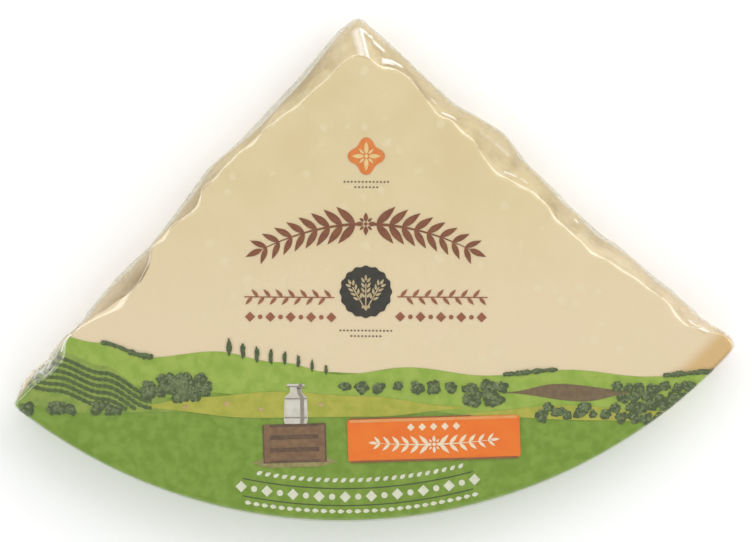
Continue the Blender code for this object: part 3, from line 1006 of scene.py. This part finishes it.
def wheat(root, lean, grains=4):
    """One ear on a stalk that leans from its root: pairs of grains and a last grain on top."""
    way = np.array((math.sin(lean), math.cos(lean)))
    steps = root + np.outer(np.linspace(5.2, 11.4, grains), way)
    upwards = math.pi / 2 - lean
    aside = 0.5 * np.array((way[1], -way[0]))
    ear = [fans(leaves(steps + side * aside, np.full(grains, upwards - side * 0.6),
                       np.full(grains, 2.6), 0.2)) for side in (-1, 1)]
    return [*ear, fans(leaves(steps[-1:] + 0.8 * way, (upwards,), (2.6,), 0.2)),
            stroke(root + np.outer(np.linspace(0, 11, 20), way), 0.5)]


sheaf = [part for lean in (-0.52, 0.0, 0.52) for part in wheat(badge_at + (0, -7.6), lean)]
sheaf.append(fans(bars((badge_at + (0, -6.2),), 3.4, 1.1)))
printed("print_badge_ear", sheaf, 2, ink("ink_badge_tan", "#B9A077", "#CDBB97", 2.0))

flower_at = np.array((-3.4, 47.0))
printed("print_amber_flower", [waved_disc(flower_at, 6.6, 0.17, 4)], 1,
        ink("ink_amber", "#DE7A2E", "#E6883C", 3.0))
printed("print_amber_flower_light", moved(flower(5.1, 2.9, 0.18), flower_at), 2,
        ink("ink_pale_yellow", "#F0D49A", "#EBC987", 2.0))

fine = [in_a_row((-3.4, 36.4), 1.5, 13), in_a_row((-3.4, 34.2), 1.5, 7),
        in_a_row((-3.6, -25.0), 1.5, 15), in_a_row((-3.6, -27.3), 1.5, 9)]
dotted = [fans(regular(line, np.full(len(line), 0.42), 8)) for line in fine]
printed("print_dotted_lines", dotted, 1, ink("ink_fine_brown", "#6E5A44", "#7C6850", 2.0))

# %% Orange plate with a garland
PLATE_TILT = 0.03
plate_at = np.array((24.5, -69.5))


def on_plate(points):
    """Points round the plate's middle, turned with the plate's slight tilt."""
    x, y = np.asarray(points, dtype=float).T
    return plate_at + np.column_stack((x * math.cos(PLATE_TILT) - y * math.sin(PLATE_TILT),
                                       x * math.sin(PLATE_TILT) + y * math.cos(PLATE_TILT)))


corner_centre = np.column_stack((np.sign(np.cos(around)) * 34.2, np.sign(np.sin(around)) * 7.4))
plate_edge = corner_centre + 1.4 * circle
printed("print_plate", [fans(on_plate(plate_edge)[None])], 5,
        ink("ink_plate_orange", "#F07413", "#F37E1A", 8.0))
trim_x = np.linspace(-34.6, 34.6, 30)
printed("print_plate_light", [stroke(on_plate([(x, 8.0) for x in trim_x]), 1.2)], 6,
        ink("ink_plate_light", "#EA9A55", "#EDA363", 6.0))
printed("print_plate_shade", [stroke(on_plate([(x, -8.7) for x in trim_x]), 0.9),
                              stroke(on_plate([(x, 9.0) for x in trim_x[:22]]), 0.5)], 6,
        ink("ink_plate_shade", "#9A6236", "#8E5A30", 6.0))

plate_parts = [*moved(garland(24.0, 1.2, 6, 5.6), (0.0, -2.4)), *moved(flower(2.9, 1.7, 0.24), (0.0, -2.4)),
               fans(regular(in_a_row((0, 4.9), 4.7, 5, 0), np.full(5, 1.6), 4))]
printed("print_plate_motif", [(on_plate(points), faces) for points, faces in plate_parts], 6,
        ink("ink_cream", "#F3DDBE", "#F6E6CC", 3.0))

# %% Milk churn on a crate
churn_at = np.array((-32.5, -55.5))
half_width = ((8.5, 3.4), (7.6, 3.9), (6.9, 2.3), (5.0, 2.4), (3.0, 4.6), (-6.0, 5.0), (-8.0, 4.6))
heights, widths = np.array(half_width).T
level = np.linspace(8.5, -8.0, 60)
reach = np.interp(-level, -heights, widths)
churn = churn_at + np.concatenate((np.column_stack((-reach, level)), np.column_stack((reach, level))))
printed("print_churn", [(churn, grid_quads(2, len(level)))], 4,
        ink("ink_churn_grey", "#CFCAC0", "#DEDAD2", 4.0))
side = np.column_stack((reach * 0.55, level))
bands = [stroke(churn_at + np.column_stack((np.linspace(-w, w, 12), np.full(12, h))), 0.5)
         for h, w in ((2.4, 4.4), (-5.4, 4.7), (7.4, 3.6))]
printed("print_churn_shade", [stroke(churn_at + side, 1.5), *bands], 5,
        ink("ink_churn_shade", "#9E968A", "#8E867A", 3.0))

crate_at = np.array((-33.0, -71.5))
printed("print_crate", [fans(bars((crate_at,), 26.0, 16.0, 0.03))], 4,
        ink("ink_crate_brown", "#5B4431", "#6B5340", 2.0))
slats = [fans(bars(crate_at + np.array(((0, 5.2), (0, 0.0), (0, -5.2))), 24.4, 3.3, 0.03)),
         fans(bars(crate_at + np.array(((-11.3, 0), (11.3, 0))), 2.4, 15.4, 0.03))]
printed("print_crate_slats", slats, 5, ink("ink_slat_brown", "#77593F", "#8A6A4B", 2.5))
straw_x = np.linspace(-51, -15, 60)
straw = field(straw_x, smooth_line(straw_x, ((-51, -79.8), (-43, -81.6), (-24, -81.2), (-15, -79.2))),
              smooth_line(straw_x, ((-51, -79.6), (-44, -77.4), (-22, -76.8), (-15, -79.0))), 3)
printed("print_straw", [straw], 3, ink("ink_straw_shadow", "#8E8450", "#A39A66", 2.0))

# %% Cream border along the rind
inner, inner_turn = along_rind(202.5, 3.5, 25, 0.03)
middle, _ = along_rind(208.6, 5.4, 19, 0.03)
outer, outer_turn = along_rind(214.6, 3.5, 28, 0.03)
cream_rows = [fans(leaves(inner, inner_turn + 0.6, np.full(25, 2.9), 0.28)),
              fans(regular(middle[0::2], np.full(10, 2.4), 4)),
              fans(regular(middle[1::2], np.full(9, 1.3), 20)),
              fans(leaves(outer, outer_turn, np.full(28, 2.9), 0.3))]
printed("print_cream_rows", cream_rows, 2, ink("ink_row_cream", "#D9DCC4", "#E4E6D2", 3.0))
rules = [stroke(along_rind(radius, 1.6, 61, 0.03)[0], 0.5) for radius in (205.2, 212.2)]
printed("print_rules", rules, 1, ink("ink_rule_green", "#3F4E2C", "#4A5A34", 3.0))

# %% [markdown]
# ## Studio
#
# The pack lies on a white table and is seen from straight above through a long lens, as for a catalogue.
# A soft white dome, dark straight above where the camera hangs, does most of the lighting, and a key
# light from the upper right tells the two broken sides apart. Two long strips behind those sides light
# nothing but the gloss: the film mirrors them along both front edges as thin bright lines.

# %% Table
table_mesh = bpy.data.meshes.new("table")
reach = 3.0
below = LOW[2] * MM - 0.0003
table_mesh.from_pydata([(-reach, -reach, below), (reach, -reach, below), (reach, reach, below),
                        (-reach, reach, below)], [], [(0, 1, 2, 3)])
board, tree, output = new_material("painted_white_board")
spot = add(tree, "ShaderNodeTexCoord").outputs["Object"]
mottle = add(tree, "ShaderNodeTexNoise", None, {"Vector": spot, "Scale": 4.0})
paint = blend_colours(tree, mottle.outputs["Fac"], "#F8F8F8", "#FAFAFA")
shader = add(tree, "ShaderNodeBsdfPrincipled", None, {"Base Color": paint, "Roughness": 0.8})
tree.links.new(shader.outputs[0], output.inputs["Surface"])
table_mesh.materials.append(board)
table = bpy.data.objects.new("table", table_mesh)
bpy.context.scene.collection.objects.link(table)


# %% Softboxes and dome
def softbox(name, azimuth, elevation, away, size, radiance):
    """A rectangular light that faces the pack; its power is radiance times area times pi."""
    turn, rise = math.radians(azimuth), math.radians(elevation)
    lamp = bpy.data.lights.new(name, "AREA")
    lamp.shape = "RECTANGLE"
    lamp.size, lamp.size_y = size
    lamp.energy = radiance * size[0] * size[1] * math.pi
    holder = bpy.data.objects.new(name, lamp)
    holder.location = (away * math.cos(rise) * math.cos(turn), away * math.cos(rise) * math.sin(turn),
                       away * math.sin(rise))
    holder.rotation_euler = (math.pi / 2 - rise, 0, turn + math.pi / 2)
    bpy.context.scene.collection.objects.link(holder)
    return holder


softbox("key_softbox", 48, 45, 1.3, (0.9, 0.9), 1.2)
for side, azimuth in (("left", 134), ("right", 46)):
    glint = softbox(f"glint_strip_{side}", azimuth, 52, 1.2, (1.7, 1.0), 4.0)
    glint.visible_diffuse = False

world = bpy.data.worlds.new("white_dome")
world.use_nodes = True
sky = world.node_tree
outward = add(sky, "ShaderNodeTexCoord").outputs["Generated"]
up = add(sky, "ShaderNodeSeparateXYZ", None, {0: outward}).outputs["Z"]
sky.links.new(ramp(sky, up, 0.80, 0.97, 1.2, 0.4), sky.nodes["Background"].inputs["Strength"])
sky.nodes["Background"].inputs["Color"].default_value = (1.0, 1.0, 1.0, 1.0)
bpy.context.scene.world = world
bpy.context.scene.view_settings.view_transform = "Standard"

# %% Camera
CAMERA_ABOVE = 1400.0       # millimetres over the front face
VIEW_WIDTH = 310.2          # millimetres across the view, on the front face
SENSOR = 36.0
lens = bpy.data.cameras.new("camera")
lens.sensor_width = SENSOR
lens.lens = SENSOR * CAMERA_ABOVE / VIEW_WIDTH
camera = bpy.data.objects.new("camera", lens)
camera.location = (0.6 * MM, -0.4 * MM, (THICKNESS + CAMERA_ABOVE) * MM)
bpy.context.scene.collection.objects.link(camera)
bpy.context.scene.camera = camera
